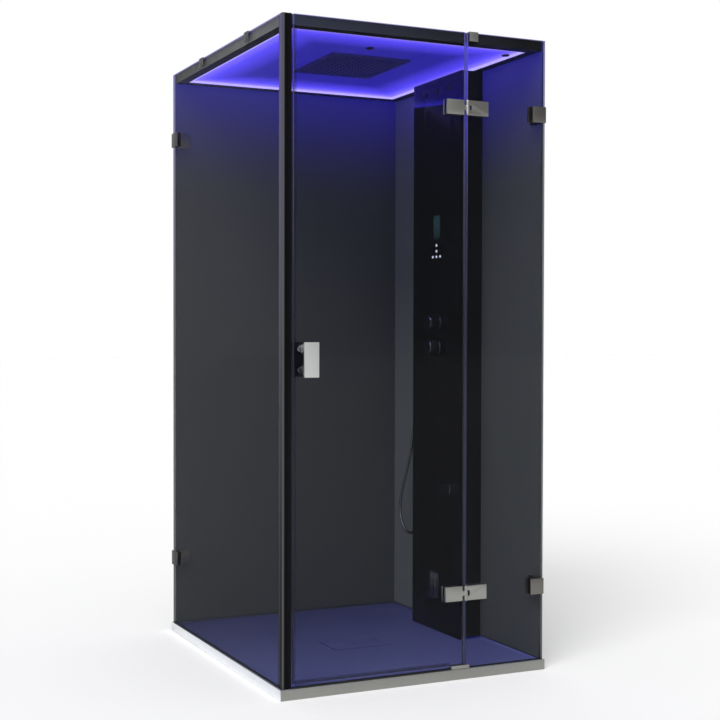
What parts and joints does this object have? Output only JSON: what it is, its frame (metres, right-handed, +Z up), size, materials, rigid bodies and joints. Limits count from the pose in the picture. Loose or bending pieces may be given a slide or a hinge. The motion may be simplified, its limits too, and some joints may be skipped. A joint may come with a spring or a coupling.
{
  "type": "steam shower cabin",
  "caption": "Square corner steam shower cabin with tinted glass panes, hinged glass door, low tray, lit ceiling with rain head and a full height control column.",
  "frame": {"origin": "centre of the tray's underside, on the floor", "axes": "+Z up, +X along the front from the corner post to the right wall, +Y from the door towards the back wall"},
  "size_m": [1.011, 1.04, 2.153],
  "materials": {
    "tray_grey": "matt mineral cast, cool grey",
    "satin_steel": "satin brushed",
    "chrome": "polished",
    "dark_chrome": "smoked, polished",
    "charcoal_panel": "satin charcoal panel",
    "black_aluminium": "black anodised, satin",
    "black_rubber": "matt",
    "clear_seal": "clear extruded seal",
    "tinted_glass": "polished grey tinted safety glass",
    "lit_ceiling": "edge lit diffuser",
    "light_strip": "blue violet light strip",
    "black_plastic": "moulded",
    "dark_steel": "dark satin",
    "brass": "machined",
    "black_glass": "gloss black face",
    "display": "dark teal window",
    "key_light": "back lit marks",
    "pipe_steel": "mill finish",
    "hose_metal": "ribbed metal hose"
  },
  "bodies": {
    "cabin": {"tray": "tray_grey", "tray_aprons": "satin_steel", "waste_body": "chrome", "right_wall": "charcoal_panel", "back_wall": "charcoal_panel", "wall_corner_trim": "black_aluminium", "setting_strips": "black_rubber", "fixed_glass": "tinted_glass", "side_glass": "tinted_glass", "corner_post": "black_aluminium", "post_magnet_seal": "clear_seal", "door_head_seal": "black_rubber", "threshold_strip": "black_aluminium", "pane_foot": "satin_steel", "hinge_fixed_leaves": "satin_steel", "hinge_pins": "satin_steel", "clamp_outer_plates": "satin_steel", "clamp_inner_angles": "satin_steel", "pane_gaskets": "black_rubber", "pane_bolts": "satin_steel", "roof_clips": "satin_steel", "roof_rails": "black_aluminium", "ceiling_panel": "lit_ceiling", "ceiling_fittings": "black_plastic", "light_strips": "light_strip", "roof_cover": "black_aluminium", "rain_head": "dark_steel", "rain_head_neck": "brass", "column_face": "black_glass", "column_shell": "black_aluminium", "display_module": "display", "touch_keys": "key_light", "control_box": "black_plastic", "upper_nozzles": "dark_chrome", "mixer_valve": "brass", "knob_collars": "dark_chrome", "inlet_nipples": "brass", "water_pipes": "pipe_steel", "steam_generator": "pipe_steel", "steam_outlet": "dark_chrome", "power_gland": "black_plastic", "steam_pipe": "pipe_steel", "soap_tray": "dark_chrome", "hand_shower_holder": "chrome", "hose_outlet": "chrome", "shower_hose": "hose_metal"},
    "door": {"door_glass": "tinted_glass", "door_magnet_seal": "clear_seal", "door_hinge_seal": "clear_seal", "door_bottom_seal": "clear_seal", "hinge_door_leaves": "satin_steel", "door_gaskets": "black_rubber", "door_bolts": "satin_steel", "handle_plates": "satin_steel", "handle_standoffs": "chrome"},
    "thermostat": {"thermostat_knob": "dark_chrome"},
    "diverter": {"diverter_knob": "dark_chrome"},
    "waste_lid": {"waste_cover": "tray_grey"},
    "handset": {"hand_shower": "chrome"},
    "aroma": {"aroma_cup": "dark_chrome"}
  },
  "joints": [
    {"name": "door_swing", "type": "hinge", "parent": "cabin", "child": "door", "pos_m": [0.18, -0.5, 1.094], "axis": [0, 0, 1], "range_deg": [0, 90]},
    {"name": "thermostat_turn", "type": "hinge", "parent": "cabin", "child": "thermostat", "pos_m": [0.396, 0.028, 1.196], "axis": [-1, 0, 0], "range_deg": [-120, 120]},
    {"name": "diverter_turn", "type": "hinge", "parent": "cabin", "child": "diverter", "pos_m": [0.396, 0.028, 1.101], "axis": [-1, 0, 0], "range_deg": [-90, 90]},
    {"name": "waste_cover_lift", "type": "slide", "parent": "cabin", "child": "waste_lid", "axis": [0, 0, 1], "range_m": [0, 0.06]},
    {"name": "handset_lift", "type": "slide", "parent": "cabin", "child": "handset", "axis": [0, 0, 1], "range_m": [0, 0.06]},
    {"name": "aroma_cup_lift", "type": "slide", "parent": "cabin", "child": "aroma", "axis": [0, 0, 1], "range_m": [0, 0.04]}
  ]
}
